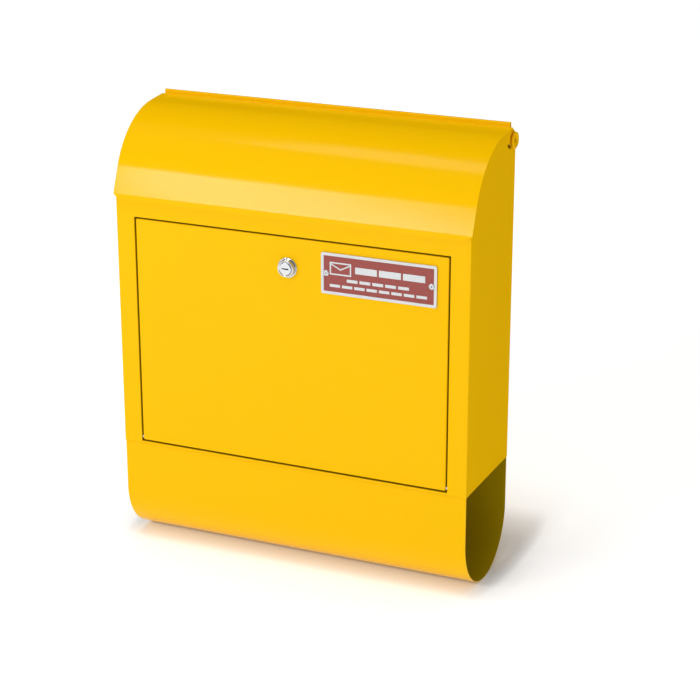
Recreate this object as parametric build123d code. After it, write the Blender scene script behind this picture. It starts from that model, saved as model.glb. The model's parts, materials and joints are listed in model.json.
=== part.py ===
"""Wall mailbox of folded steel sheet: a letter box with a lifting lid, a drop-down locked door and an
open newspaper trough below.

Drawn in millimetres with +X to the right, +Y into the wall, +Z up, y = 0 on the wall and z = 0 at the
lowest point of the trough. Every part is written with z measured from the middle of the wall holes.
"""

import os
from math import asin, cos, radians, sin, tan

from build123d import *

# Whole box
WIDTH = 370.0
DEPTH = 115.0
HEIGHT = 450.0
SHEET = 1.0
FLOOR_Z = 108.0
FLOOR_FLANGE_FRONT_Y = -100.0
FLOOR_FLANGE_REAR_Y = -10.0
FLOOR_FLANGE_HEIGHT = 10.0

# Clearance between sheets that touch, how far a cut runs past a face, and how exactly an edge is found
TOUCH = 0.1
CUT = 1.0
NEAR = 0.01

# Wall holes
WALL_HOLE_DX = 250.0
WALL_HOLE_DZ = 230.0
WALL_HOLE_Z = 285.0
WALL_HOLE_R = 3.0
BACK_TOP_Z = 440.0

# Lid section: a rear slope, a round shoulder, a straight front and an upright lip
SHOULDER_Y = -29.5
SHOULDER_Z = 359.8
SHOULDER_R = 84.0
REAR_SLOPE = 5.0
FRONT_SLOPE = 68.5
LID_WIDTH = 373.0
LIP_Y = -117.0
LIP_BOTTOM_Z = 361.0
LIP_CORNER_R = 20.0
LIP_CORNER_WIDTH = 14.0
LIP_BEND_R = 2.5
RIB_FRONT_Y = -12.5
RIB_REAR_Y = -9.0
RIB_LENGTH = 366.8
RIB_BEND_R = 1.2
LID_GAP = 0.8

# Lid hinge
HINGE_Y = -8.0
HINGE_Z = 432.5
ROD_R = 2.5
RUNNING_GAP = 0.05
BUSH_SHANK_R = 4.5
BUSH_DISC_R = 8.0
BUSH_DISC_THICKNESS = 2.5
BUSH_STANDOFF = 1.0
BUSH_SHANK_LENGTH = 4.0
BUSH_ROUND = 0.8
ROD_CHAMFER = 0.4
ROD_OVERHANG = 0.5
CLIP_R = 6.5
CLIP_THICKNESS = 1.1
EAR_THICKNESS = 1.5
EAR_X = 178.0
EAR_R = 6.4
EAR_FRONT_Y = -34.0
EAR_REAR_Y = -13.0
EAR_FLANGE_WIDTH = 11.0

# Side panels
FLANGE_WIDTH = 12.0
REAR_FLANGE_TOP_Z = 415.0
FRONT_FLANGE_TOP_Z = 362.0
FLANGE_BOTTOM_Z = 120.0
SLOT_Y = -17.5
SLOT_Z = 428.0
SLOT_LENGTH = 10.0
SLOT_WIDTH = 3.4
SLOT_TILT = -26.0
SIDE_FRONT_CORNER_R = 0.5
# The cut-off upper rear corner, as (y, z)
SIDE_REAR_CORNER = [(0.0, 436.5), (-3.0, 440.0), (-8.5, 444.0)]

# Front frame
FRAME_TOP_Z = 366.5
OPENING_WIDTH = 331.0
OPENING_BOTTOM_Z = 110.0
OPENING_TOP_Z = 345.5
STOP_BOTTOM_Z = 130.0
STOP_INSIDE_X = 158.0
RETURN_REAR_Y = -104.7
TOP_FLANGE_REAR_Y = -103.0
HEM_WIDTH = 12.0
HEM_REAR_Y = -112.8
FRAME_CORNER_R = 0.9

# Door
DOOR_GAP = 1.8
DOOR_REAR_Y = -106.0
DOOR_EDGE_R = 1.2
DOOR_CORNER_R = 1.5
PIN_Y = -112.5
PIN_Z = 114.3
PIN_R = 1.4
PIN_INSIDE_X = 160.0
PIN_OUTSIDE_X = 169.0
PIN_CHAMFER = 0.3

# Lock
LOCK_Z = 314.2
HEAD_R = 8.5
HEAD_FRONT_Y = -120.5
HEAD_ROUND = 0.9
RING_R = 10.0
RING_THICKNESS = 1.3
RING_ROUND = 0.6
BARREL_R = 8.0
BARREL_REAR_Y = -104.8
PLUG_R = 6.0
PLUG_FRONT_Y = -120.8
PLUG_SHOULDER_Y = -104.2
PLUG_ROUND = 0.4
KEYWAY_LENGTH = 7.0
KEYWAY_WIDTH = 1.3
KEYWAY_DEPTH = 9.0
NUT_FLATS = 21.0
NUT_THICKNESS = 4.0
CAM_FRONT_Y = -103.9
CAM_REAR_Y = -101.9
CAM_REACH = 36.0
CAM_WIDTH = 14.0
CAM_SQUARE = 7.0
SCREW_R = 1.5
SCREW_HEAD_R = 4.3
SCREW_HEAD_THICKNESS = 2.2
SCREW_LENGTH = 8.0
SCREW_HOLE_SPARE = 0.5
SCREW_HEAD_ROUND = 0.9
SCREW_CROSS_LENGTH = 4.4
SCREW_CROSS_WIDTH = 1.0
SCREW_CROSS_DEPTH = 1.1

# Nameplate
PLATE_LEFT_X = 35.5
PLATE_RIGHT_X = 152.5
PLATE_BOTTOM_Z = 294.0
PLATE_TOP_Z = 334.5
PLATE_THICKNESS = 1.0
PLATE_BORDER = 2.8
PLATE_BORDER_HEIGHT = 0.5
PLATE_CORNER_R = 2.0
PLATE_INNER_CORNER_R = 0.6
FIELD_THICKNESS = 0.2
EMBLEM_THICKNESS = 0.3
PLATE_RIVET_INSET = 5.1
PLATE_RIVET_R = 1.5
PLATE_RIVET_HEAD_R = 2.7
PLATE_RIVET_HEAD_THICKNESS = 0.9
PLATE_RIVET_HEAD_ROUND = 0.6
PLATE_RIVET_HOLE_R = 0.7
PLATE_RIVET_TAIL_R = 2.3
PLATE_RIVET_TAIL_Y = -112.5
PLATE_RELIEF_R = 3.0

# Nameplate sign and rows of plain dashes: left x, right x, low z, high z, number of dashes
SIGN_LEFT_X = 44.5
SIGN_RIGHT_X = 66.5
SIGN_BOTTOM_Z = 313.5
SIGN_TOP_Z = 326.0
SIGN_LINE = 1.4
DASH_GAP = 2.0
DASH_ROWS = [
    (70.5, 141.0, 317.0, 323.5, 3),
    (62.0, 125.0, 307.6, 310.6, 5),
    (44.5, 143.0, 301.4, 304.2, 8),
]

# Trough
TROUGH_WIDTH = 369.2
TROUGH_FRONT_Y = -114.0
TROUGH_FLANGE = 20.0
TROUGH_BEND_R = 1.2
RIVET_X = 150.0
RIVET_INSET = 14.0
RIVET_R = 2.0
RIVET_HEAD_R = 3.6
RIVET_HEAD_THICKNESS = 1.2
RIVET_TAIL_R = 2.8
RIVET_TAIL_HEIGHT = 2.0
RIVET_ROUND = 0.8

HALF = WIDTH / 2
INSIDE = HALF - SHEET
FRONT_Y = -DEPTH
DOOR_RIGHT_X = OPENING_WIDTH / 2 - DOOR_GAP
DOOR_BOTTOM_Z = OPENING_BOTTOM_Z + DOOR_GAP
DOOR_TOP_Z = OPENING_TOP_Z - DOOR_GAP
PLATE_MIDDLE_Z = (PLATE_BOTTOM_Z + PLATE_TOP_Z) / 2


def write(name, shape):
    """Writes one sub-part with z measured from the middle of the wall holes."""
    export_step(Pos(0, 0, -WALL_HOLE_Z) * shape, f"parts/{name}.step")


def block(x0, x1, y0, y1, z0, z1):
    """A box between two corners."""
    centre = Pos((x0 + x1) / 2, (y0 + y1) / 2, (z0 + z1) / 2)
    return centre * Box(x1 - x0, y1 - y0, z1 - z0)


def rod_x(radius, x0, x1, y, z):
    """A cylinder along X from x0 to x1."""
    return Pos((x0 + x1) / 2, y, z) * Rot(0, 90, 0) * Cylinder(radius, x1 - x0)


def rod_y(radius, y0, y1, x, z):
    """A cylinder along Y from y0 to y1."""
    return Pos(x, (y0 + y1) / 2, z) * Rot(90, 0, 0) * Cylinder(radius, y1 - y0)


def rod_z(radius, z0, z1, x, y):
    """A cylinder along Z from z0 to z1."""
    return Pos(x, y, (z0 + z1) / 2) * Cylinder(radius, z1 - z0)


def across(section, x0, x1):
    """A section in the YZ plane drawn out along X from x0 to x1."""
    return extrude(Plane.YZ.offset(x0) * section, x1 - x0, dir=(1, 0, 0))


def into_wall(section, y0, y1):
    """A section in the XZ plane drawn out along Y from y0 to y1."""
    return extrude(Plane.XZ.offset(-y0) * section, y1 - y0, dir=(0, 1, 0))


def mirrored(shape):
    """The left-hand copy of a right-hand shape."""
    return mirror(shape, about=Plane.YZ)


def shoulder_point(angle, inset):
    """A point (y, z) of the lid's round shoulder, inset from the lid's outer face."""
    r = SHOULDER_R - inset
    return (SHOULDER_Y - r * sin(radians(angle)), SHOULDER_Z + r * cos(radians(angle)))


def slope_z(y, inset):
    """Height of the lid's rear slope at y."""
    top_y, top_z = shoulder_point(REAR_SLOPE, inset)
    return top_z + (y - top_y) * tan(radians(REAR_SLOPE))


def front_z(y, inset):
    """Height of the lid's straight front at y."""
    low_y, low_z = shoulder_point(FRONT_SLOPE, inset)
    return low_z - (low_y - y) * tan(radians(FRONT_SLOPE))


def lid_line(rear_y, front_y, inset):
    """The lid's line from rear_y over the shoulder to front_y, inset from its outer face."""
    top = shoulder_point(REAR_SLOPE, inset)
    middle = shoulder_point((REAR_SLOPE + FRONT_SLOPE) / 2, inset)
    low = shoulder_point(FRONT_SLOPE, inset)
    return [
        Line((rear_y, slope_z(rear_y, inset)), top),
        ThreePointArc(top, middle, low),
        Line(low, (front_y, front_z(front_y, inset))),
    ]


def outline(*points):
    """Straight edges through the points."""
    return list(Polyline(*points).edges())


def section_face(edges):
    """A closed section from edges that meet end to end."""
    return make_face(Wire(edges))


def back_panel():
    """Flat back with four wall holes."""
    panel = block(-INSIDE + TOUCH, INSIDE - TOUCH, -SHEET, 0, FLOOR_Z + SHEET, BACK_TOP_Z)
    for x in (-WALL_HOLE_DX / 2, WALL_HOLE_DX / 2):
        for z in (WALL_HOLE_Z - WALL_HOLE_DZ / 2, WALL_HOLE_Z + WALL_HOLE_DZ / 2):
            panel -= rod_y(WALL_HOLE_R, -SHEET - CUT, CUT, x, z)
    return panel


def side_panel():
    """Right side sheet: its top runs just under the lid, and its front and rear edges are flanged."""
    inset = SHEET + LID_GAP
    front_y = HEM_REAR_Y
    top = lid_line(RIB_FRONT_Y, front_y, inset)
    rest = outline(
        (front_y, front_z(front_y, inset)),
        (front_y, FLOOR_Z),
        (0, FLOOR_Z),
        *SIDE_REAR_CORNER,
        (RIB_FRONT_Y, slope_z(RIB_FRONT_Y, inset)),
    )
    sheet = across(section_face(top + rest), INSIDE, HALF)
    front_corner = sheet.edges().filter_by(Axis.Z).sort_by(Axis.Y)[:2].sort_by(Axis.X)[-1]
    sheet = fillet(front_corner, SIDE_FRONT_CORNER_R)
    front_flange = block(
        INSIDE - FLANGE_WIDTH, INSIDE, front_y, front_y + SHEET, FLANGE_BOTTOM_Z, FRONT_FLANGE_TOP_Z
    )
    rear_flange = block(
        INSIDE - FLANGE_WIDTH, INSIDE, -2 * SHEET, -SHEET, FLANGE_BOTTOM_Z, REAR_FLANGE_TOP_Z
    )
    sheet += front_flange + rear_flange
    sheet -= rod_x(BUSH_SHANK_R + RUNNING_GAP, INSIDE - CUT, HALF + CUT, HINGE_Y, HINGE_Z)
    slot = SlotOverall(SLOT_LENGTH, SLOT_WIDTH, rotation=SLOT_TILT)
    sheet -= across(Pos(SLOT_Y, SLOT_Z) * slot, INSIDE - CUT, HALF + CUT)
    return sheet


def front_frame():
    """Front plate with the door opening, hemmed side edges, returns round the opening and a header."""
    half_opening = OPENING_WIDTH / 2
    plate = block(-HALF, HALF, FRONT_Y, FRONT_Y + SHEET, FLOOR_Z, FRAME_TOP_Z)
    for side in (-1, 1):
        x0, x1 = sorted((side * (HALF - HEM_WIDTH), side * HALF))
        plate += block(x0, x1, FRONT_Y + SHEET, HEM_REAR_Y, FLOOR_Z, FRAME_TOP_Z)
    uprights = plate.edges().filter_by(Axis.Z)
    corners = uprights.filter_by_position(Axis.X, HALF - NEAR, HALF + NEAR)
    corners += uprights.filter_by_position(Axis.X, -HALF - NEAR, NEAR - HALF)
    plate = fillet(corners.sort_by(Axis.Y)[:2], FRAME_CORNER_R)
    plate += block(
        -INSIDE, INSIDE, FRONT_Y + SHEET, TOP_FLANGE_REAR_Y, FRAME_TOP_Z - SHEET, FRAME_TOP_Z
    )
    tube = block(
        -half_opening - SHEET,
        half_opening + SHEET,
        FRONT_Y + SHEET,
        RETURN_REAR_Y,
        FLOOR_Z + SHEET,
        OPENING_TOP_Z + SHEET,
    )
    plate += tube
    plate -= block(
        -half_opening, half_opening, FRONT_Y - CUT, RETURN_REAR_Y + CUT, OPENING_BOTTOM_Z, OPENING_TOP_Z
    )
    for side in (-1, 1):
        x0, x1 = sorted((side * STOP_INSIDE_X, side * half_opening))
        plate += block(x0, x1, RETURN_REAR_Y - SHEET, RETURN_REAR_Y, STOP_BOTTOM_Z, OPENING_TOP_Z)
        x0, x1 = sorted((side * (half_opening - CUT), side * (half_opening + SHEET + CUT)))
        plate -= rod_x(PIN_R + RUNNING_GAP, x0, x1, PIN_Y, PIN_Z)
    return plate


def floor_panel():
    """Floor of the letter compartment, with an upturned flange at each side."""
    half = INSIDE - TOUCH
    floor = block(-half, half, HEM_REAR_Y + TOUCH, 0, FLOOR_Z, FLOOR_Z + SHEET)
    for side in (-1, 1):
        x0, x1 = sorted((side * (half - SHEET), side * half))
        floor += block(
            x0, x1, FLOOR_FLANGE_FRONT_Y, FLOOR_FLANGE_REAR_Y, FLOOR_Z, FLOOR_Z + FLOOR_FLANGE_HEIGHT
        )
    for x, y in trough_rivet_places():
        floor -= rod_z(RIVET_R + RUNNING_GAP, FLOOR_Z - CUT, FLOOR_Z + SHEET + CUT, x, y)
    return floor


def trough_rivet_places():
    """The four rivets between the trough and the floor, as (x, y)."""
    rows = (TROUGH_FRONT_Y + RIVET_INSET, -RIVET_INSET)
    return [(side * RIVET_X, y) for side in (-1, 1) for y in rows]


def trough_outline(inset):
    """The trough's U, inset from its outer face: down the front, round the bottom and up the back."""
    radius = -TROUGH_FRONT_Y / 2
    r = radius - inset
    front = (-radius - r, radius)
    bottom = (-radius, radius - r)
    back = (r - radius, radius)
    return front, bottom, back


def newspaper_trough():
    """U-shaped sheet, open at both ends, with flanges that turn in under the floor."""
    front, bottom, back = trough_outline(0)
    outer = [
        Line((front[0], FLOOR_Z), front),
        ThreePointArc(front, bottom, back),
        Line(back, (back[0], FLOOR_Z)),
    ]
    inside_z = FLOOR_Z - SHEET
    in_front, in_bottom, in_back = trough_outline(SHEET)
    inner = outline(
        (back[0], FLOOR_Z),
        (-TROUGH_FLANGE, FLOOR_Z),
        (-TROUGH_FLANGE, inside_z),
        (in_back[0], inside_z),
        in_back,
    )
    inner.append(ThreePointArc(in_back, in_bottom, in_front))
    inner += outline(
        in_front,
        (in_front[0], inside_z),
        (TROUGH_FRONT_Y + TROUGH_FLANGE, inside_z),
        (TROUGH_FRONT_Y + TROUGH_FLANGE, FLOOR_Z),
        (front[0], FLOOR_Z),
    )
    trough = across(section_face(outer + inner), -TROUGH_WIDTH / 2, TROUGH_WIDTH / 2)
    bends = trough.edges().filter_by(Axis.X).filter_by_position(Axis.Z, FLOOR_Z - NEAR, FLOOR_Z + NEAR)
    bends = bends.sort_by(Axis.Y)
    trough = fillet([bends[0], bends[-1]], TROUGH_BEND_R)
    for x, y in trough_rivet_places():
        trough -= rod_z(RIVET_R + RUNNING_GAP, inside_z - CUT, FLOOR_Z + CUT, x, y)
    return trough


def trough_rivets():
    """Four blind rivets, each a separate solid."""
    rivets = []
    for x, y in trough_rivet_places():
        top = FLOOR_Z + SHEET
        bottom = FLOOR_Z - SHEET
        rivet = rod_z(RIVET_R, bottom, top, x, y)
        rivet += rod_z(RIVET_HEAD_R, bottom - RIVET_HEAD_THICKNESS, bottom, x, y)
        rivet += rod_z(RIVET_TAIL_R, top, top + RIVET_TAIL_HEIGHT, x, y)
        rim = rivet.edges().group_by(Axis.Z)[0]
        rivets.append(fillet(rim, RIVET_ROUND))
    return Compound(children=rivets)


def hinge_rod():
    """Rod across the box that the lid turns on, with its ends inside the bushes."""
    rod = rod_x(ROD_R, -HALF - ROD_OVERHANG, HALF + ROD_OVERHANG, HINGE_Y, HINGE_Z)
    return chamfer(rod.edges().filter_by(GeomType.CIRCLE), ROD_CHAMFER)


def hinge_bush():
    """Right-hand bush: a shank through the side panel and a round disc that stands off outside it."""
    disc_x = HALF + BUSH_STANDOFF
    bush = rod_x(BUSH_DISC_R, disc_x, disc_x + BUSH_DISC_THICKNESS, HINGE_Y, HINGE_Z)
    rims = bush.edges().filter_by(GeomType.CIRCLE)
    bush = fillet(rims, BUSH_ROUND)
    shank_x = disc_x - BUSH_SHANK_LENGTH
    outside_x = disc_x + BUSH_DISC_THICKNESS
    bush += rod_x(BUSH_SHANK_R, shank_x, disc_x + CUT, HINGE_Y, HINGE_Z)
    bush -= rod_x(ROD_R + RUNNING_GAP, shank_x - CUT, outside_x + CUT, HINGE_Y, HINGE_Z)
    return bush


def bush_clips():
    """Push-on rings that hold the two bushes inside the side panels."""
    outside_x = INSIDE - TOUCH
    ring = rod_x(CLIP_R, outside_x - CLIP_THICKNESS, outside_x, HINGE_Y, HINGE_Z)
    ring -= rod_x(
        BUSH_SHANK_R + RUNNING_GAP, outside_x - CLIP_THICKNESS - CUT, outside_x + CUT, HINGE_Y, HINGE_Z
    )
    return Compound(children=[ring, mirrored(ring)])


def door_hinge_pins():
    """Two pins in the frame's returns that the door turns on."""
    pin = rod_x(PIN_R, PIN_INSIDE_X, PIN_OUTSIDE_X, PIN_Y, PIN_Z)
    pin = chamfer(pin.edges().filter_by(GeomType.CIRCLE), PIN_CHAMFER)
    return Compound(children=[pin, mirrored(pin)])


def lid_shell():
    """Curved lid sheet with an upright front lip and a folded rib along its rear edge."""
    half = LID_WIDTH / 2
    outer = lid_line(RIB_FRONT_Y, LIP_Y, 0)
    inner = lid_line(RIB_FRONT_Y, LIP_Y + SHEET, SHEET)
    lip = outline(
        (LIP_Y, front_z(LIP_Y, 0)),
        (LIP_Y, LIP_BOTTOM_Z),
        (LIP_Y + SHEET, LIP_BOTTOM_Z),
        (LIP_Y + SHEET, front_z(LIP_Y + SHEET, SHEET)),
    )
    rear = outline(
        (RIB_FRONT_Y, slope_z(RIB_FRONT_Y, SHEET)), (RIB_FRONT_Y, slope_z(RIB_FRONT_Y, 0))
    )
    shell = across(section_face(outer + lip + inner + rear), -half, half)
    bends = shell.edges().filter_by(Axis.X)
    outer_bend = bends.filter_by_position(Axis.Y, LIP_Y - NEAR, LIP_Y + NEAR).sort_by(Axis.Z)[-1]
    shell = fillet(outer_bend, LIP_BEND_R)
    bends = shell.edges().filter_by(Axis.X)
    inner_y = LIP_Y + SHEET
    inner_bend = bends.filter_by_position(Axis.Y, inner_y - NEAR, inner_y + NEAR).sort_by(Axis.Z)[-1]
    shell = fillet(inner_bend, LIP_BEND_R - SHEET)
    shell -= lip_corner_cut() + mirrored(lip_corner_cut())
    return shell + lid_rib()


def lip_corner_cut():
    """What rounds off the lip's lower right corner: everything outside one arc."""
    half = LID_WIDTH / 2
    tangent_x = half - LIP_CORNER_WIDTH
    angle = asin(LIP_CORNER_WIDTH / LIP_CORNER_R)
    rise = LIP_CORNER_R * (1 - cos(angle))
    low = (tangent_x, LIP_BOTTOM_Z)
    middle = (
        tangent_x + LIP_CORNER_R * sin(angle / 2),
        LIP_BOTTOM_Z + LIP_CORNER_R * (1 - cos(angle / 2)),
    )
    high = (tangent_x + LIP_CORNER_R * sin(angle), LIP_BOTTOM_Z + rise)
    edges = [ThreePointArc(low, middle, high)]
    edges += outline(
        high,
        (half + CUT, LIP_BOTTOM_Z + rise),
        (half + CUT, LIP_BOTTOM_Z - CUT),
        (tangent_x, LIP_BOTTOM_Z - CUT),
        low,
    )
    return into_wall(section_face(edges), LIP_Y - CUT, LIP_Y + SHEET + CUT)


def lid_rib():
    """Folded rib along the lid's rear edge: up, over and down, inside the side panels."""
    low_z = slope_z(RIB_FRONT_Y, SHEET)
    rib = block(-RIB_LENGTH / 2, RIB_LENGTH / 2, RIB_FRONT_Y, RIB_REAR_Y, low_z, HEIGHT)
    tops = rib.edges().filter_by(Axis.X).group_by(Axis.Z)[-1]
    rib = fillet(tops, RIB_BEND_R)
    groove = block(
        -RIB_LENGTH, RIB_LENGTH, RIB_FRONT_Y + SHEET, RIB_REAR_Y - SHEET, low_z - CUT, HEIGHT - SHEET
    )
    return rib - groove


def lid_ear():
    """Right-hand ear: a web with the rod's hole and a flange welded under the lid."""
    rear_z = slope_z(EAR_REAR_Y, SHEET)
    front_edge_z = slope_z(EAR_FRONT_Y, SHEET)
    diagonal = EAR_R * cos(radians(45))
    web_outline = Polygon(
        (HINGE_Y - diagonal, HINGE_Z - diagonal),
        (HINGE_Y + diagonal, HINGE_Z + diagonal),
        (EAR_REAR_Y, rear_z),
        (EAR_FRONT_Y, front_edge_z),
        align=None,
    )
    web = across(web_outline + Pos(HINGE_Y, HINGE_Z) * Circle(EAR_R), EAR_X, EAR_X + EAR_THICKNESS)
    flange_outline = Polygon(
        (EAR_FRONT_Y, front_edge_z - EAR_THICKNESS),
        (EAR_REAR_Y, rear_z - EAR_THICKNESS),
        (EAR_REAR_Y, rear_z),
        (EAR_FRONT_Y, front_edge_z),
        align=None,
    )
    outside_x = EAR_X + EAR_THICKNESS
    ear = web + across(flange_outline, EAR_X - EAR_FLANGE_WIDTH, outside_x)
    return ear - rod_x(ROD_R + RUNNING_GAP, EAR_X - CUT, outside_x + CUT, HINGE_Y, HINGE_Z)


def plate_rivet_places():
    """The x of the two nameplate rivets."""
    return (PLATE_LEFT_X + PLATE_RIVET_INSET, PLATE_RIGHT_X - PLATE_RIVET_INSET)


def door_panel():
    """Door pan: front sheet with four returns, a lock hole, rivet holes and pin holes."""
    pan = block(-DOOR_RIGHT_X, DOOR_RIGHT_X, FRONT_Y, DOOR_REAR_Y, DOOR_BOTTOM_Z, DOOR_TOP_Z)
    pan = fillet(pan.edges().filter_by(Axis.Y), DOOR_CORNER_R)
    pan = fillet(pan.edges().group_by(Axis.Y)[0], DOOR_EDGE_R)
    pan -= block(
        SHEET - DOOR_RIGHT_X,
        DOOR_RIGHT_X - SHEET,
        FRONT_Y + SHEET,
        DOOR_REAR_Y + CUT,
        DOOR_BOTTOM_Z + SHEET,
        DOOR_TOP_Z - SHEET,
    )
    before_y = FRONT_Y - CUT
    behind_y = FRONT_Y + SHEET + CUT
    pan -= rod_y(BARREL_R + RUNNING_GAP, before_y, behind_y, 0, LOCK_Z)
    for x in plate_rivet_places():
        pan -= rod_y(PLATE_RIVET_R + RUNNING_GAP, before_y, behind_y, x, PLATE_MIDDLE_Z)
    for side in (-1, 1):
        x0, x1 = sorted((side * (DOOR_RIGHT_X - SHEET - CUT), side * (DOOR_RIGHT_X + CUT)))
        pan -= rod_x(PIN_R + RUNNING_GAP, x0, x1, PIN_Y, PIN_Z)
    return pan


def plate_blank(margin, y0, y1):
    """A round-cornered rectangle of the nameplate's outline, margin inside it, from y0 to y1."""
    blank = block(
        PLATE_LEFT_X + margin,
        PLATE_RIGHT_X - margin,
        y0,
        y1,
        PLATE_BOTTOM_Z + margin,
        PLATE_TOP_Z - margin,
    )
    return fillet(blank.edges().filter_by(Axis.Y), max(PLATE_CORNER_R - margin, PLATE_INNER_CORNER_R))


def nameplate():
    """Metal nameplate with a raised border, relieved round the two rivet heads that lap into it."""
    face_y = FRONT_Y - PLATE_THICKNESS
    plate = plate_blank(0, face_y - PLATE_BORDER_HEIGHT, FRONT_Y)
    plate -= plate_blank(PLATE_BORDER, face_y - PLATE_BORDER_HEIGHT - CUT, face_y)
    for x in plate_rivet_places():
        plate -= rod_y(PLATE_RIVET_R + RUNNING_GAP, face_y - CUT, FRONT_Y + CUT, x, PLATE_MIDDLE_Z)
        plate -= rod_y(PLATE_RELIEF_R, face_y - CUT, face_y, x, PLATE_MIDDLE_Z)
    return plate


def nameplate_field():
    """Coloured enamel that fills the nameplate inside its border, clear of the rivets."""
    face_y = FRONT_Y - PLATE_THICKNESS
    field = plate_blank(PLATE_BORDER + RUNNING_GAP, face_y - FIELD_THICKNESS, face_y)
    for x in plate_rivet_places():
        field -= rod_y(PLATE_RELIEF_R, face_y - CUT, face_y + CUT, x, PLATE_MIDDLE_Z)
    return field


def envelope_sign(front_y, back_y):
    """Outline of an envelope with its flap."""
    left, right = SIGN_LEFT_X + SIGN_LINE, SIGN_RIGHT_X - SIGN_LINE
    low, high = SIGN_BOTTOM_Z + SIGN_LINE, SIGN_TOP_Z - SIGN_LINE
    sign = block(SIGN_LEFT_X, SIGN_RIGHT_X, front_y, back_y, SIGN_BOTTOM_Z, SIGN_TOP_Z)
    sign -= block(left, right, front_y - CUT, back_y + CUT, low, high)
    middle_x, middle_z = (left + right) / 2, (low + high) / 2
    flap = Polygon(
        (left, high - SIGN_LINE),
        (middle_x, middle_z - SIGN_LINE),
        (right, high - SIGN_LINE),
        (right, high),
        (middle_x, middle_z),
        (left, high),
        align=None,
    )
    return sign + into_wall(flap, front_y, back_y)


def nameplate_emblem():
    """Raised envelope sign and rows of plain dashes, each a separate solid."""
    back_y = FRONT_Y - PLATE_THICKNESS - FIELD_THICKNESS
    front_y = back_y - EMBLEM_THICKNESS
    marks = [envelope_sign(front_y, back_y)]
    for left, right, low, high, count in DASH_ROWS:
        pitch = (right - left + DASH_GAP) / count
        for index in range(count):
            x = left + index * pitch
            marks.append(block(x, x + pitch - DASH_GAP, front_y, back_y, low, high))
    return Compound(children=marks)


def nameplate_rivets():
    """Two tubular rivets through the nameplate and the door, each a separate solid."""
    face_y = FRONT_Y - PLATE_THICKNESS
    head_y = face_y - PLATE_RIVET_HEAD_THICKNESS
    rivets = []
    for x in plate_rivet_places():
        rivet = rod_y(PLATE_RIVET_R, face_y, PLATE_RIVET_TAIL_Y, x, PLATE_MIDDLE_Z)
        head = rod_y(PLATE_RIVET_HEAD_R, head_y, face_y, x, PLATE_MIDDLE_Z)
        rim = head.edges().filter_by(GeomType.CIRCLE).sort_by(Axis.Y)[0]
        rivet += fillet(rim, PLATE_RIVET_HEAD_ROUND)
        rivet += rod_y(PLATE_RIVET_TAIL_R, FRONT_Y + SHEET, PLATE_RIVET_TAIL_Y, x, PLATE_MIDDLE_Z)
        rivet -= rod_y(PLATE_RIVET_HOLE_R, head_y - CUT, face_y + CUT, x, PLATE_MIDDLE_Z)
        rivets.append(rivet)
    return Compound(children=rivets)


def lock_housing():
    """Chrome head outside the door and a plain barrel through it, bored for the plug."""
    head = rod_y(HEAD_R, HEAD_FRONT_Y, FRONT_Y, 0, LOCK_Z)
    front_rim = head.edges().filter_by(GeomType.CIRCLE).sort_by(Axis.Y)[0]
    head = fillet(front_rim, HEAD_ROUND)
    barrel = rod_y(BARREL_R, FRONT_Y, BARREL_REAR_Y, 0, LOCK_Z)
    bore = rod_y(PLUG_R + RUNNING_GAP, HEAD_FRONT_Y - CUT, BARREL_REAR_Y + CUT, 0, LOCK_Z)
    return head + barrel - bore


def lock_ring():
    """Flat ring round the lock's head, against the door."""
    ring_y = FRONT_Y - RING_THICKNESS
    ring = rod_y(RING_R, ring_y, FRONT_Y, 0, LOCK_Z)
    ring = fillet(ring.edges().filter_by(GeomType.CIRCLE).sort_by(Axis.Y)[0], RING_ROUND)
    return ring - rod_y(HEAD_R + RUNNING_GAP, ring_y - CUT, FRONT_Y + CUT, 0, LOCK_Z)


def lock_nut():
    """Hexagonal nut that holds the lock from inside the door."""
    start_y = FRONT_Y + SHEET
    hexagon = RegularPolygon(NUT_FLATS / 2, 6, major_radius=False)
    end_y = start_y + NUT_THICKNESS
    nut = into_wall(Pos(0, LOCK_Z) * hexagon, start_y, end_y)
    return nut - rod_y(BARREL_R + RUNNING_GAP, start_y - CUT, end_y + CUT, 0, LOCK_Z)


def lock_plug():
    """Turning plug with a level keyway, a square tail for the cam and a screw hole."""
    plug = rod_y(PLUG_R, PLUG_FRONT_Y, PLUG_SHOULDER_Y, 0, LOCK_Z)
    front_rim = plug.edges().filter_by(GeomType.CIRCLE).sort_by(Axis.Y)[0]
    plug = fillet(front_rim, PLUG_ROUND)
    half = CAM_SQUARE / 2 - RUNNING_GAP
    plug += block(-half, half, PLUG_SHOULDER_Y, CAM_REAR_Y, LOCK_Z - half, LOCK_Z + half)
    plug -= block(
        -KEYWAY_LENGTH / 2,
        KEYWAY_LENGTH / 2,
        PLUG_FRONT_Y - CUT,
        PLUG_FRONT_Y + KEYWAY_DEPTH,
        LOCK_Z - KEYWAY_WIDTH / 2,
        LOCK_Z + KEYWAY_WIDTH / 2,
    )
    hole = rod_y(SCREW_R + RUNNING_GAP, CAM_REAR_Y - SCREW_LENGTH, CAM_REAR_Y + CUT, 0, LOCK_Z)
    return plug - hole


def lock_cam():
    """Flat cam that points left when unlocked and swings up behind the header when locked."""
    width = CAM_WIDTH / 2
    tip_centre = CAM_REACH - width
    cam = block(-tip_centre, 0, CAM_FRONT_Y, CAM_REAR_Y, LOCK_Z - width, LOCK_Z + width)
    cam += rod_y(width, CAM_FRONT_Y, CAM_REAR_Y, 0, LOCK_Z)
    cam += rod_y(width, CAM_FRONT_Y, CAM_REAR_Y, -tip_centre, LOCK_Z)
    half = CAM_SQUARE / 2
    square = block(-half, half, CAM_FRONT_Y - CUT, CAM_REAR_Y + CUT, LOCK_Z - half, LOCK_Z + half)
    return cam - square


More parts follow.
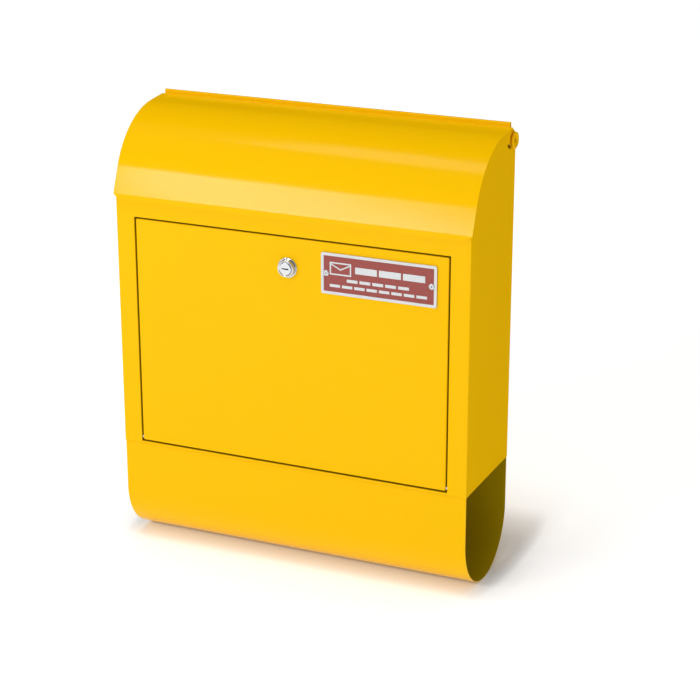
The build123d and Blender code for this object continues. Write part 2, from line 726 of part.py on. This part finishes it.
def cam_screw():
    """Cross-slotted pan-head screw that holds the cam on the plug."""
    rear_y = CAM_REAR_Y + SCREW_HEAD_THICKNESS
    tip_y = CAM_REAR_Y - SCREW_LENGTH + SCREW_HOLE_SPARE
    head = rod_y(SCREW_HEAD_R, CAM_REAR_Y, rear_y, 0, LOCK_Z)
    head = fillet(head.edges().filter_by(GeomType.CIRCLE).sort_by(Axis.Y)[-1], SCREW_HEAD_ROUND)
    screw = head + rod_y(SCREW_R, tip_y, CAM_REAR_Y, 0, LOCK_Z)
    long, short = SCREW_CROSS_LENGTH / 2, SCREW_CROSS_WIDTH / 2
    for x, z in ((long, short), (short, long)):
        screw -= block(-x, x, rear_y - SCREW_CROSS_DEPTH, rear_y + CUT, LOCK_Z - z, LOCK_Z + z)
    return screw


os.makedirs("parts", exist_ok=True)

for make in (
    back_panel,
    front_frame,
    floor_panel,
    newspaper_trough,
    trough_rivets,
    hinge_rod,
    bush_clips,
    door_hinge_pins,
    lid_shell,
    door_panel,
    nameplate,
    nameplate_field,
    nameplate_emblem,
    nameplate_rivets,
    lock_housing,
    lock_ring,
    lock_nut,
    lock_plug,
    lock_cam,
    cam_screw,
):
    write(make.__name__, make())

for make in (side_panel, hinge_bush, lid_ear):
    right = make()
    write(f"{make.__name__}_right", right)
    write(f"{make.__name__}_left", mirrored(right))
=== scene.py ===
import json
from math import asin, cos, pi, radians, sin, tan

import bmesh
import bpy
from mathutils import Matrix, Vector


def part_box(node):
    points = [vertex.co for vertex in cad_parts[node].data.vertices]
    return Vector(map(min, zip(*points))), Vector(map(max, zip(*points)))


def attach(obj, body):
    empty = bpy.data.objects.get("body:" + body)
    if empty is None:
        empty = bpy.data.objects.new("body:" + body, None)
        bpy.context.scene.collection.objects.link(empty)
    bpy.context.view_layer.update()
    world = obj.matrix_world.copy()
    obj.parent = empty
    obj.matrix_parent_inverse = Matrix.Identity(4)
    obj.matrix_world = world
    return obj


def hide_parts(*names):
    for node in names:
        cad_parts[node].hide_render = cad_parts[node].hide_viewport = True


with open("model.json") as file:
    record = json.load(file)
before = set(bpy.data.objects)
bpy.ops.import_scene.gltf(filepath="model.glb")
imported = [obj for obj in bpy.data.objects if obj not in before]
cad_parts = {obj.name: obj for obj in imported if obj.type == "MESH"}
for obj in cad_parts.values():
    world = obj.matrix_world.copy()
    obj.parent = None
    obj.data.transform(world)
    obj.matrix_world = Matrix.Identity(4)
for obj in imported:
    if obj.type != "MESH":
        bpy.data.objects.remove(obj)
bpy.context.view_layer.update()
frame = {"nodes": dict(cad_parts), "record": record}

MM = 0.001
BODIES = frame["record"]["behaviour"]["bodies"]
SLOTS = {part["node"]: part["material_slot"] for part in frame["record"]["subparts"]}
BODY_OF = {node: body for body, nodes in BODIES.items() for node in nodes}

# Sheet metal
SHEET = 1.0 * MM
EDGE = 0.2 * MM
FINE_EDGE = 0.08 * MM
RIGHT = Vector((1.0, 0.0, 0.0))

# Points closer than MERGE are one point, and a point within NEAR of a line lies on it
MERGE = 0.002 * MM
NEAR = 0.01 * MM

# Clearance round a part that turns in another
RUNNING_GAP = 0.05 * MM

# Lid section, worked out from the lid's box
LID_LOW, LID_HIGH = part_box("lid_shell")
SHOULDER_BACK = 87.5 * MM
SHOULDER_DROP = 90.2 * MM
SHOULDER = Vector((LID_LOW.x, LID_LOW.y + SHOULDER_BACK, LID_HIGH.z - SHOULDER_DROP))
SHOULDER_R = 84.0 * MM
SHOULDER_STEPS = 48
REAR_SLOPE = radians(5.0)
FRONT_SLOPE = radians(68.5)
LIP_BEND = 2.5 * MM
LIP_CORNER_R = 20.0 * MM
LIP_CORNER_WIDTH = 14.0 * MM
LIP_CORNER_STEPS = 12
RIB_WIDTH = 3.5 * MM
RIB_SHORTER = 3.1 * MM
RIB_BEND = 1.2 * MM
RIB_SLACK = 0.1 * MM

# Trough section, worked out from the trough's box
TROUGH_LOW, TROUGH_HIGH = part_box("newspaper_trough")
TROUGH_FLANGE = 20.0 * MM
TROUGH_BEND = 1.2 * MM
TROUGH_STEPS = 72

# Door opening: half its width with its returns, and how far behind the front face the painted shade in
# the gap starts
OPENING_HALF = 168.0 * MM
PAINTED_SHADE_BACK = 1.2 * SHEET

# Round parts
ROUND_STEPS = 72

# Paint gloss
PAINT_IOR = 1.16

# Floor: its glow, as (distance from the trough's foot, strength), and how much faster the shadow fades
# past the trough's ends than in front of it
FLOOR_RADIUS = 8.0
GLOW = ((0.04, 0.0), (0.085, 0.15), (0.12, 0.36), (0.20, 0.42), (0.80, 0.43), (1.0, 0.53))
END_FADE = 5.0

# Black card behind the box
CARD_WIDTH = 3.0
CARD_HEIGHT = 1.6
CARD_GAP = 0.1

# Lights: the sky's strength, and each box's place from the lid's lip, width, height and radiance
SKY = 0.50
KEY = (Vector((-0.74, -1.60, 0.77)), 0.80, 0.15, 30.5)
OVERHEAD = (Vector((-0.2, -0.4, 2.0)), 1.6, 0.5, 5.0)

# Camera: turn to the right, rise, distance from where it aims, and lens
CAMERA_TURN = radians(23.75)
CAMERA_RISE = radians(19.55)
CAMERA_DISTANCE = 2.1334
CAMERA_AIM = Vector((-0.0128, 0.0611, -0.1129))
LENS = 104.55
SENSOR = 36.0


class Wire:
    """A shader output that can be used in Python arithmetic."""

    def __init__(self, finish, socket):
        self.finish = finish
        self.socket = socket

    def maths(self, operation, other=None, swapped=False):
        """A Math node on this output and, where there is one, another value."""
        values = (other, self) if swapped else (self, other)
        inputs = {index: value for index, value in enumerate(values) if value is not None}
        return self.finish.node("ShaderNodeMath", {"operation": operation}, inputs)["Value"]

    def __add__(self, other):
        return self.maths("ADD", other)

    def __radd__(self, other):
        return self.maths("ADD", other, swapped=True)

    def __sub__(self, other):
        return self.maths("SUBTRACT", other)

    def __rsub__(self, other):
        return self.maths("SUBTRACT", other, swapped=True)

    def __mul__(self, other):
        return self.maths("MULTIPLY", other)

    def __rmul__(self, other):
        return self.maths("MULTIPLY", other, swapped=True)


class Outputs:
    """The outputs of one node, by name."""

    def __init__(self, finish, made):
        self.finish = finish
        self.made = made

    def __getitem__(self, name):
        return Wire(self.finish, self.made.outputs[name])


class Finish:
    """A material, built node by node on one Principled shader."""

    def __init__(self, name):
        self.material = bpy.data.materials.new(name)
        self.material.use_nodes = True
        self.tree = self.material.node_tree
        self.shader = self.tree.nodes["Principled BSDF"]
        self.place = self.node("ShaderNodeTexCoord")["Object"]

    def node(self, kind, settings=None, inputs=None):
        """A node of one kind, with its settings made first and then its sockets fed."""
        made = self.tree.nodes.new(kind)
        for name, value in (settings or {}).items():
            if name == "stops":
                self.set_stops(made.color_ramp, value)
            else:
                setattr(made, name, value)
        for name, value in (inputs or {}).items():
            self.feed(made.inputs[name], value)
        return Outputs(self, made)

    def set_stops(self, ramp, stops):
        """Grey stops for a ramp, as (position, level)."""
        while len(ramp.elements) < len(stops):
            ramp.elements.new(0.5)
        for element, (position, level) in zip(ramp.elements, stops):
            element.position = position
            element.color = (level, level, level, 1.0)

    def feed(self, socket, value):
        """Links an output to a socket, or sets the socket to a plain value."""
        if isinstance(value, Wire):
            self.tree.links.new(value.socket, socket)
        else:
            socket.default_value = value

    def noise(self, scale, detail=2.0, roughness=0.5, stretch=None):
        """Noise from 0 to 1 with about scale features to the metre."""
        place = self.place
        if stretch:
            place = self.node("ShaderNodeMapping", None, {"Vector": place, "Scale": stretch})["Vector"]
        made = self.node(
            "ShaderNodeTexNoise",
            None,
            {"Vector": place, "Scale": scale, "Detail": detail, "Roughness": roughness},
        )
        return made["Fac"]

    def ramp(self, value, *stops):
        """The value put through grey stops."""
        made = self.node("ShaderNodeValToRGB", {"stops": stops}, {"Fac": value})
        return made["Color"]

    def blend(self, amount, first, second):
        """Colour that goes from first to second as amount goes from 0 to 1."""
        made = self.tree.nodes.new("ShaderNodeMix")
        made.data_type = "RGBA"
        self.feed(made.inputs[0], amount)
        self.feed(made.inputs[6], first)
        self.feed(made.inputs[7], second)
        return Wire(self, made.outputs[2])

    def bump(self, height, distance, strength=1.0, normal=None):
        """A normal bent by the height, on top of another normal where there is one."""
        inputs = {"Height": height, "Distance": distance, "Strength": strength}
        if normal:
            inputs["Normal"] = normal
        return self.node("ShaderNodeBump", None, inputs)["Normal"]

    def edge_wear_and_highlight(self, reach):
        """1 on edges and corners and 0 on flat faces, from how the normal bends within reach."""
        bevel = self.node("ShaderNodeBevel", {"samples": 4}, {"Radius": reach})["Normal"]
        flat = self.node("ShaderNodeNewGeometry")["Normal"]
        same = self.node("ShaderNodeVectorMath", {"operation": "DOT_PRODUCT"}, {0: bevel, 1: flat})
        return self.ramp(1.0 - same["Value"], (0.01, 0.0), (0.12, 1.0))

    def set(self, **values):
        """Values or links for the shader's own sockets, named with _ for a space."""
        for name, value in values.items():
            self.feed(self.shader.inputs[name.replace("_", " ")], value)


def colour(red, green, blue):
    """An opaque colour."""
    return (red, green, blue, 1.0)


def yellow_paint(name, painted_shade_area=None):
    """Glossy powder coat: fine orange peel, faint cloudiness, slightly uneven gloss, and corners
    lightened partly as wear and partly as a painted highlight.

    Where the given area is 1 the colour is a dark olive and the gloss duller: painted shade for a
    hollow or gap that light hardly reaches.
    """
    paint = Finish(name)
    cloud = paint.noise(9.0, 4.0)
    grain = paint.noise(900.0, 3.0, 0.6)
    fine = paint.noise(2600.0, 2.0)
    base = paint.blend(cloud, colour(0.93, 0.520, 0.0), colour(0.905, 0.500, 0.0))
    base = paint.blend(grain * 0.05, base, colour(0.78, 0.42, 0.0))
    # Edges are lightened: partly wear, partly a painted highlight where rounded edges catch the light.
    worn_and_highlit = paint.edge_wear_and_highlight(0.6 * MM)
    base = paint.blend(worn_and_highlit * 0.18, base, colour(0.95, 0.62, 0.05))
    rough = 0.10 + 0.05 * paint.noise(60.0, 3.0)
    # Painted shade: the given area is darkened to olive and dulled, standing in for shadow.
    if painted_shade_area:
        painted_shade_mask = painted_shade_area(paint)
        painted_shade_colour = paint.blend(cloud, colour(0.40, 0.285, 0.0), colour(0.36, 0.255, 0.0))
        base = paint.blend(painted_shade_mask, base, painted_shade_colour)
        rough = rough + 0.35 * painted_shade_mask
    peel = paint.bump(grain, 0.03 * MM, 0.35)
    peel = paint.bump(fine, 0.01 * MM, 0.3, peel)
    sheet = paint.bump(paint.noise(14.0, 1.0), 0.12 * MM, 0.5, peel)
    paint.set(Base_Color=base, Roughness=rough, Normal=sheet, IOR=PAINT_IOR)
    return paint.material


def trough_inside_painted_shade(paint):
    """1 on the trough's inner face and 0 on its outer face, by the distance from its middle line:
    where the painted shade inside the trough goes.
    """
    middle_y = (TROUGH_LOW.y + TROUGH_HIGH.y) / 2
    radius = (TROUGH_HIGH.y - TROUGH_LOW.y) / 2
    axes = paint.node("ShaderNodeSeparateXYZ", None, {"Vector": paint.place})
    below = (axes["Z"] - (TROUGH_LOW.z + radius)).maths("MINIMUM", 0.0)
    across = axes["Y"] - middle_y
    distance = (across * across + below * below).maths("SQRT")
    return (distance - (radius - SHEET / 2)).maths("LESS_THAN", 0.0)


def opening_painted_shade(paint):
    """1 on what lies behind the front face inside the door opening, 0 on the front and the sides:
    where the painted shade in the door gap goes.
    """
    axes = paint.node("ShaderNodeSeparateXYZ", None, {"Vector": paint.place})
    face_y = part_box("front_frame")[0].y
    behind = (axes["Y"] - (face_y + PAINTED_SHADE_BACK)).maths("GREATER_THAN", 0.0)
    between = axes["X"].maths("ABSOLUTE").maths("LESS_THAN", OPENING_HALF)
    return behind * between


def chrome():
    """Polished chrome plate with a faint haze and hairline scratches."""
    plate = Finish("chrome")
    haze = plate.noise(700.0, 4.0)
    hair = plate.noise(500.0, 2.0, stretch=(1.0, 1.0, 14.0))
    plate.set(
        Base_Color=plate.blend(haze, colour(0.60, 0.61, 0.62), colour(0.52, 0.53, 0.54)),
        Metallic=1.0,
        Roughness=0.06 + 0.08 * haze,
        Normal=plate.bump(hair, 0.004 * MM, 0.5),
    )
    return plate.material


def nameplate_metal():
    """Satin pressed aluminium, brushed along its length."""
    metal = Finish("nameplate_metal")
    brushed = metal.noise(2200.0, 3.0, stretch=(0.04, 1.0, 1.0))
    patch = metal.noise(150.0, 3.0)
    metal.set(
        Base_Color=metal.blend(patch, colour(0.66, 0.67, 0.68), colour(0.56, 0.57, 0.59)),
        Metallic=0.75,
        Roughness=0.30 + 0.16 * brushed,
        Normal=metal.bump(brushed, 0.01 * MM, 0.4),
    )
    return metal.material


def red_enamel():
    """Matt red-brown enamel with a fine speckle."""
    enamel = Finish("red_enamel")
    speck = enamel.noise(1500.0, 2.0, 0.7)
    patch = enamel.noise(90.0, 3.0)
    base = enamel.blend(
        enamel.ramp(speck, (0.42, 0.0), (0.62, 1.0)),
        colour(0.27, 0.040, 0.032),
        colour(0.36, 0.075, 0.060),
    )
    enamel.set(
        Base_Color=enamel.blend(patch * 0.25, base, colour(0.24, 0.035, 0.030)),
        Roughness=0.42 + 0.16 * speck,
        Normal=enamel.bump(speck, 0.03 * MM, 0.5),
    )
    return enamel.material


def zinc_steel():
    """Dull zinc plate with a faint spangle."""
    zinc = Finish("zinc_steel")
    cells = zinc.node(
        "ShaderNodeTexVoronoi", None, {"Vector": zinc.place, "Scale": 420.0}
    )["Distance"]
    haze = zinc.noise(260.0, 4.0)
    zinc.set(
        Base_Color=zinc.blend(cells, colour(0.66, 0.66, 0.64), colour(0.48, 0.49, 0.50)),
        Metallic=1.0,
        Roughness=0.30 + 0.22 * haze,
        Normal=zinc.bump(cells, 0.01 * MM, 0.4),
    )
    return zinc.material


FINISHES = {
    "yellow_paint": yellow_paint("yellow_paint"),
    "chrome": chrome(),
    "nameplate_metal": nameplate_metal(),
    "red_enamel": red_enamel(),
    "zinc_steel": zinc_steel(),
}
# Paint darkened inside the trough as painted shade, for the shadow in its tunnel.
TROUGH_PAINT_SHADED = yellow_paint("trough_paint_shaded", trough_inside_painted_shade)
# Paint darkened on the returns in the door gap as painted shade.
OPENING_PAINT_SHADED = yellow_paint("opening_paint_shaded", opening_painted_shade)


def settle(mesh, name, node, material=None):
    """Makes the mesh a piece that stands for one CAD node and takes its body and finish."""
    mesh.shade_smooth()
    piece = bpy.data.objects.new(name, mesh)
    bpy.context.scene.collection.objects.link(piece)
    slot = SLOTS[node]
    mesh.materials.append(material or FINISHES[slot])
    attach(piece, BODY_OF[node])
    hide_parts(node)
    return piece


def evened(piece):
    """Shades flat faces flat and leaves the change of shade to the rounded edges."""
    even = piece.modifiers.new("even_normals", "WEIGHTED_NORMAL")
    even.keep_sharp = True
    even.weight = 80
    return piece


def finished_mesh(bm, name):
    """Ends a bmesh: normals outwards, into a new mesh."""
    bmesh.ops.recalc_face_normals(bm, faces=bm.faces)
    mesh = bpy.data.meshes.new(name)
    bm.to_mesh(mesh)
    bm.free()
    return mesh


def soften(bm, width, segments=2, least_angle=radians(30)):
    """Rounds every edge that turns by more than least_angle."""
    sharp = [e for e in bm.edges if len(e.link_faces) == 2 and e.calc_face_angle(0) > least_angle]
    bmesh.ops.bevel(
        bm,
        geom=sharp,
        offset=width,
        segments=segments,
        profile=0.5,
        affect="EDGES",
        clamp_overlap=True,
        material=-1,
    )


def softened_copy(node, width, material=None):
    """A merged copy of a CAD node with its sharp edges rounded."""
    bm = bmesh.new()
    bm.from_mesh(frame["nodes"][node].data)
    bmesh.ops.remove_doubles(bm, verts=bm.verts, dist=MERGE)
    bmesh.ops.dissolve_limit(bm, angle_limit=radians(0.5), verts=bm.verts, edges=bm.edges)
    if width:
        soften(bm, width)
    return evened(settle(finished_mesh(bm, node + "_mesh"), node + "_piece", node, material))


def sheet_strip(bm, width):
    """Draws a bent line of edges out along X into a sheet."""
    drawn = bmesh.ops.extrude_edge_only(bm, edges=bm.edges[:])["geom"]
    verts = [item for item in drawn if isinstance(item, bmesh.types.BMVert)]
    bmesh.ops.translate(bm, verts=verts, vec=(width, 0.0, 0.0))


def carry_on(bm, vert, *places):
    """Adds edges from the vertex through each (y, z) place and returns the last vertex."""
    for y, z in places:
        vert = bmesh.ops.extrude_vert_indiv(bm, verts=[vert])["verts"][0]
        vert.co.y, vert.co.z = y, z
    return vert


def cut_across(bm, x):
    """Adds a line of edges across the sheet at x."""
    everything = bm.verts[:] + bm.edges[:] + bm.faces[:]
    bmesh.ops.bisect_plane(bm, geom=everything, plane_co=(x, 0, 0), plane_no=RIGHT)


def bend_edges(bm, y, z):
    """The long edges of the sheet that lie along one (y, z) line."""
    found = []
    for edge in bm.edges:
        if all(abs(v.co.y - y) < NEAR and abs(v.co.z - z) < NEAR for v in edge.verts):
            found.append(edge)
    return found


def round_bend(bm, y, z, radius, turn, segments=6):
    """Rounds a fold to the radius, where turn is the angle that the sheet turns through."""
    bmesh.ops.bevel(
        bm,
        geom=bend_edges(bm, y, z),
        offset=radius * tan(turn / 2),
        segments=segments,
        profile=0.5,
        affect="EDGES",
        clamp_overlap=False,
        material=-1,
    )


def point_outwards(bm, middle):
    """Makes every face of an open sheet point away from the middle of its section."""
    bmesh.ops.recalc_face_normals(bm, faces=bm.faces)
    away = 0.0
    for face in bm.faces:
        offset = face.calc_center_median() - middle
        offset.x = 0.0
        away += face.normal.dot(offset) * face.calc_area()
    if away < 0:
        bmesh.ops.reverse_faces(bm, faces=bm.faces)


def sheet_piece(bm, node, material=None):
    """Gives an open sheet its thickness inwards and a fine edge, and makes it the node's piece."""
    mesh = bpy.data.meshes.new(node + "_mesh")
    bm.to_mesh(mesh)
    bm.free()
    piece = settle(mesh, node + "_piece", node, material)
    wall = piece.modifiers.new("sheet", "SOLIDIFY")
    wall.thickness = SHEET
    wall.offset = -1.0
    wall.use_even_offset = True
    rounding = piece.modifiers.new("edge", "BEVEL")
    rounding.width = EDGE
    rounding.segments = 2
    rounding.limit_method = "ANGLE"
    rounding.angle_limit = radians(50)
    return evened(piece)


def lip_rise(x):
    """How far the lip's lower edge has risen at x on its rounded corner."""
    along = abs(x) - (LID_HIGH.x - LIP_CORNER_WIDTH)
    if along <= 0:
        return 0.0
    return LIP_CORNER_R * (1 - cos(asin(min(along / LIP_CORNER_R, 1.0))))


def lid():
    """Curved lid: lip, straight front, round shoulder, rear slope and a folded rib, all one sheet."""
    bm = bmesh.new()
    top = Vector((0, -SHOULDER_R * sin(REAR_SLOPE), SHOULDER_R * cos(REAR_SLOPE))) + SHOULDER
    start = bm.verts.new(top)
    turned = bmesh.ops.spin(
        bm,
        geom=[start],
        cent=SHOULDER,
        axis=RIGHT,
        angle=FRONT_SLOPE - REAR_SLOPE,
        steps=SHOULDER_STEPS,
        use_duplicate=False,
    )
    low = [item for item in turned["geom_last"] if isinstance(item, bmesh.types.BMVert)][0]
    bend_z = low.co.z - (low.co.y - LID_LOW.y) * tan(FRONT_SLOPE)
    carry_on(bm, low, (LID_LOW.y, bend_z), (LID_LOW.y, LID_LOW.z))
    rib_y = LID_HIGH.y - RIB_WIDTH
    fold_z = top.z + (rib_y - top.y) * tan(REAR_SLOPE)
    carry_on(
        bm,
        start,
        (rib_y, fold_z),
        (rib_y, LID_HIGH.z),
        (LID_HIGH.y, LID_HIGH.z),
        (LID_HIGH.y, fold_z - SHEET),
    )
    sheet_strip(bm, LID_HIGH.x - LID_LOW.x)
    for side in (-1, 1):
        for step in range(LIP_CORNER_STEPS):
            reach = LIP_CORNER_WIDTH * sin(step / LIP_CORNER_STEPS * pi / 2)
            place = side * (LID_HIGH.x - LIP_CORNER_WIDTH + reach)
            cut_across(bm, place)
        cut_across(bm, side * (LID_HIGH.x - RIB_SHORTER))
    round_bend(bm, LID_LOW.y, bend_z, LIP_BEND, pi / 2 - FRONT_SLOPE)
    for y in (rib_y, LID_HIGH.y):
        round_bend(bm, y, LID_HIGH.z, RIB_BEND, pi / 2)
    beyond = LID_HIGH.x - RIB_SHORTER
    rib_ends = []
    for face in bm.faces:
        middle = face.calc_center_median()
        if abs(middle.x) > beyond and middle.y > rib_y - RIB_SLACK:
            rib_ends.append(face)
    bmesh.ops.delete(bm, geom=rib_ends, context="FACES")
    room = bend_z - LID_LOW.z - LIP_BEND * tan((pi / 2 - FRONT_SLOPE) / 2) - EDGE
    for vert in bm.verts:
        if abs(vert.co.z - LID_LOW.z) < NEAR:
            vert.co.z += min(lip_rise(vert.co.x), room)
    point_outwards(bm, SHOULDER)
    return sheet_piece(bm, "lid_shell")


def trough():
    """Newspaper trough: a half-round bottom between upright walls, with flanges turned in on top."""
    bm = bmesh.new()
    radius = (TROUGH_HIGH.y - TROUGH_LOW.y) / 2
    centre = Vector((TROUGH_LOW.x, TROUGH_LOW.y + radius, TROUGH_LOW.z + radius))
    start = bm.verts.new((TROUGH_LOW.x, TROUGH_LOW.y, centre.z))
    turned = bmesh.ops.spin(
        bm, geom=[start], cent=centre, axis=RIGHT, angle=pi, steps=TROUGH_STEPS, use_duplicate=False
    )
    rear = [item for item in turned["geom_last"] if isinstance(item, bmesh.types.BMVert)][0]
    top = TROUGH_HIGH.z
    carry_on(bm, start, (TROUGH_LOW.y, top), (TROUGH_LOW.y + TROUGH_FLANGE, top))
    carry_on(bm, rear, (TROUGH_HIGH.y, top), (TROUGH_HIGH.y - TROUGH_FLANGE, top))
    sheet_strip(bm, TROUGH_HIGH.x - TROUGH_LOW.x)
    for y in (TROUGH_LOW.y, TROUGH_HIGH.y):
        round_bend(bm, y, top, TROUGH_BEND, pi / 2)
    point_outwards(bm, centre)
    return sheet_piece(bm, "newspaper_trough", TROUGH_PAINT_SHADED)


def turned_piece(node, profile, axis_place, direction):
    """Spins a closed profile of (radius, distance along direction) about an axis."""
    bm = bmesh.new()
    along = Vector(direction)
    out = Vector((0, 0, 1))
    verts = [bm.verts.new(Vector(axis_place) + out * r + along * d) for r, d in profile]
    edges = [bm.edges.new((a, b)) for a, b in zip(verts, verts[1:] + verts[:1])]
    bmesh.ops.spin(
        bm,
        geom=verts + edges,
        cent=axis_place,
        axis=along,
        angle=2 * pi,
        steps=ROUND_STEPS,
        use_merge=True,
        use_duplicate=False,
    )
    bmesh.ops.remove_doubles(bm, verts=bm.verts, dist=MERGE)
    soften(bm, EDGE / 2)
    return evened(settle(finished_mesh(bm, node + "_mesh"), node + "_piece", node))


def lock_housing():
    """Lock head with a rolled rim and a sunk seat round the plug, and the barrel behind it."""
    low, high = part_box("lock_housing")
    centre = Vector(((low.x + high.x) / 2, low.y, (low.z + high.z) / 2))
    head_r = (high.x - low.x) / 2
    bore_r = (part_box("lock_plug")[1].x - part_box("lock_plug")[0].x) / 2 + RUNNING_GAP
    head = 5.5 * MM
    length = high.y - low.y
    profile = [
        (bore_r, 0.5 * MM),
        (bore_r + 0.7 * MM, 0.35 * MM),
        (bore_r + 1.0 * MM, 0.0),
        (head_r - 0.9 * MM, 0.0),
        (head_r - 0.45 * MM, 0.12 * MM),
        (head_r - 0.12 * MM, 0.45 * MM),
        (head_r, 0.9 * MM),
        (head_r, head),
        (head_r - 0.5 * MM, head),
        (head_r - 0.5 * MM, length),
        (bore_r, length),
    ]
    return turned_piece("lock_housing", profile, centre, (0, 1, 0))


def hinge_bush(side):
    """Painted bush outside the side panel: a disc with a rolled rim round a sunk middle."""
    node = "hinge_bush_right" if side > 0 else "hinge_bush_left"
    low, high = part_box(node)
    outside_x = high.x if side > 0 else low.x
    centre = Vector((outside_x, (low.y + high.y) / 2, (low.z + high.z) / 2))
    disc_r = (high.z - low.z) / 2
    length = high.x - low.x
    profile = [
        (2.55 * MM, 0.9 * MM),
        (disc_r - 2.9 * MM, 0.9 * MM),
        (disc_r - 2.1 * MM, 0.0),
        (disc_r - 0.8 * MM, 0.0),
        (disc_r - 0.24 * MM, 0.24 * MM),
        (disc_r, 0.8 * MM),
        (disc_r, 1.7 * MM),
        (disc_r - 0.24 * MM, 2.26 * MM),
        (disc_r - 0.8 * MM, 2.5 * MM),
        (4.5 * MM, 2.5 * MM),
        (4.5 * MM, length),
        (2.55 * MM, length),
    ]
    return turned_piece(node, profile, centre, (-side, 0, 0))


BUILT = ("lid_shell", "newspaper_trough", "lock_housing", "hinge_bush_left", "hinge_bush_right")
FINE = ("nameplate_emblem", "nameplate_field")

lid()
trough()
lock_housing()
hinge_bush(-1)
hinge_bush(1)
for node in frame["nodes"]:
    if node not in BUILT:
        # The front frame and the door take the paint with painted shade on their returns in the gap.
        coat = OPENING_PAINT_SHADED if node in ("front_frame", "door_panel") else None
        softened_copy(node, FINE_EDGE if node in FINE else EDGE, coat)


def look_along(obj, place, target):
    """Puts a light or the camera at a place, looking at the target."""
    obj.location = place
    obj.rotation_euler = (Vector(target) - Vector(place)).to_track_quat("-Z", "Y").to_euler()


def soft_box(name, place, target, width, height, radiance):
    """A rectangular studio box that looks equally bright from any distance."""
    data = bpy.data.lights.new(name, "AREA")
    data.shape = "RECTANGLE"
    data.size = width
    data.size_y = height
    data.energy = radiance * pi * width * height
    light = bpy.data.objects.new(name, data)
    bpy.context.scene.collection.objects.link(light)
    look_along(light, place, target)


def plain_object(bm, name, finish):
    """Ends a bmesh as an object with one finish."""
    mesh = bpy.data.meshes.new(name)
    bm.to_mesh(mesh)
    bm.free()
    mesh.materials.append(finish.material)
    made = bpy.data.objects.new(name, mesh)
    bpy.context.scene.collection.objects.link(made)
    return made


def floor_finish():
    """Matt white with a faint glow that fades near the trough's foot, for a soft contact shadow."""
    pale = Finish("pale_floor")
    tone = pale.noise(3.0, 2.0)
    shade = pale.blend(tone, colour(0.90, 0.90, 0.90), colour(0.88, 0.88, 0.88))
    axes = pale.node("ShaderNodeSeparateXYZ", None, {"Vector": pale.place})
    past_end = (axes["X"].maths("ABSOLUTE") - TROUGH_HIGH.x).maths("MAXIMUM", 0.0) * END_FADE
    off_line = axes["Y"] - TROUGH_HIGH.y
    reach = (past_end * past_end + off_line * off_line).maths("SQRT")
    glow = pale.ramp(reach, *GLOW)
    pale.set(Base_Color=shade, Roughness=0.9, Specular_IOR_Level=0.0)
    pale.set(Emission_Color=glow, Emission_Strength=1.0)
    return pale


def floor():
    """Plain pale floor at the trough's lowest point."""
    bm = bmesh.new()
    bmesh.ops.create_circle(bm, cap_ends=True, segments=96, radius=FLOOR_RADIUS)
    plane = plain_object(bm, "floor", floor_finish())
    plane.location.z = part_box("newspaper_trough")[0].z


def black_card():
    """A matt black card close behind the box, seen by reflections alone.

    It keeps the pale floor and sky out of the paint where they would be mirrored at a flat angle.
    """
    bm = bmesh.new()
    bmesh.ops.create_grid(bm, x_segments=1, y_segments=1, size=0.5)
    bmesh.ops.scale(bm, vec=(CARD_WIDTH, CARD_HEIGHT, 1.0), verts=bm.verts)
    matt = Finish("matt_black")
    matt.set(Base_Color=colour(0.0, 0.0, 0.0), Roughness=1.0, Specular_IOR_Level=0.0)
    card = plain_object(bm, "black_card", matt)
    card.rotation_euler.x = pi / 2
    card.location = (0.0, CARD_GAP, TROUGH_LOW.z + CARD_HEIGHT / 2)
    card.visible_camera = False
    card.visible_diffuse = False
    card.visible_transmission = False
    card.visible_shadow = False


def camera():
    """The view: from the right and above."""
    level = cos(CAMERA_RISE)
    back = Vector((sin(CAMERA_TURN) * level, -cos(CAMERA_TURN) * level, sin(CAMERA_RISE)))
    data = bpy.data.cameras.new("camera")
    data.lens = LENS
    data.sensor_width = SENSOR
    cam = bpy.data.objects.new("camera", data)
    bpy.context.scene.collection.objects.link(cam)
    look_along(cam, CAMERA_AIM + back * CAMERA_DISTANCE, CAMERA_AIM)
    bpy.context.scene.camera = cam


def lights():
    """Even studio light, a box at the front left that the lid mirrors, and a box overhead."""
    world = bpy.data.worlds.new("studio")
    world.use_nodes = True
    sky = world.node_tree.nodes["Background"]
    sky.inputs["Color"].default_value = colour(1.0, 1.0, 1.0)
    sky.inputs["Strength"].default_value = SKY
    bpy.context.scene.world = world
    lip = Vector((0.0, LID_LOW.y, LID_LOW.z))
    for name, (offset, width, height, radiance) in (("key", KEY), ("overhead", OVERHEAD)):
        soft_box(name, lip + offset, lip, width, height, radiance)


camera()
lights()
floor()
black_card()
bpy.context.scene.view_settings.view_transform = "Standard"
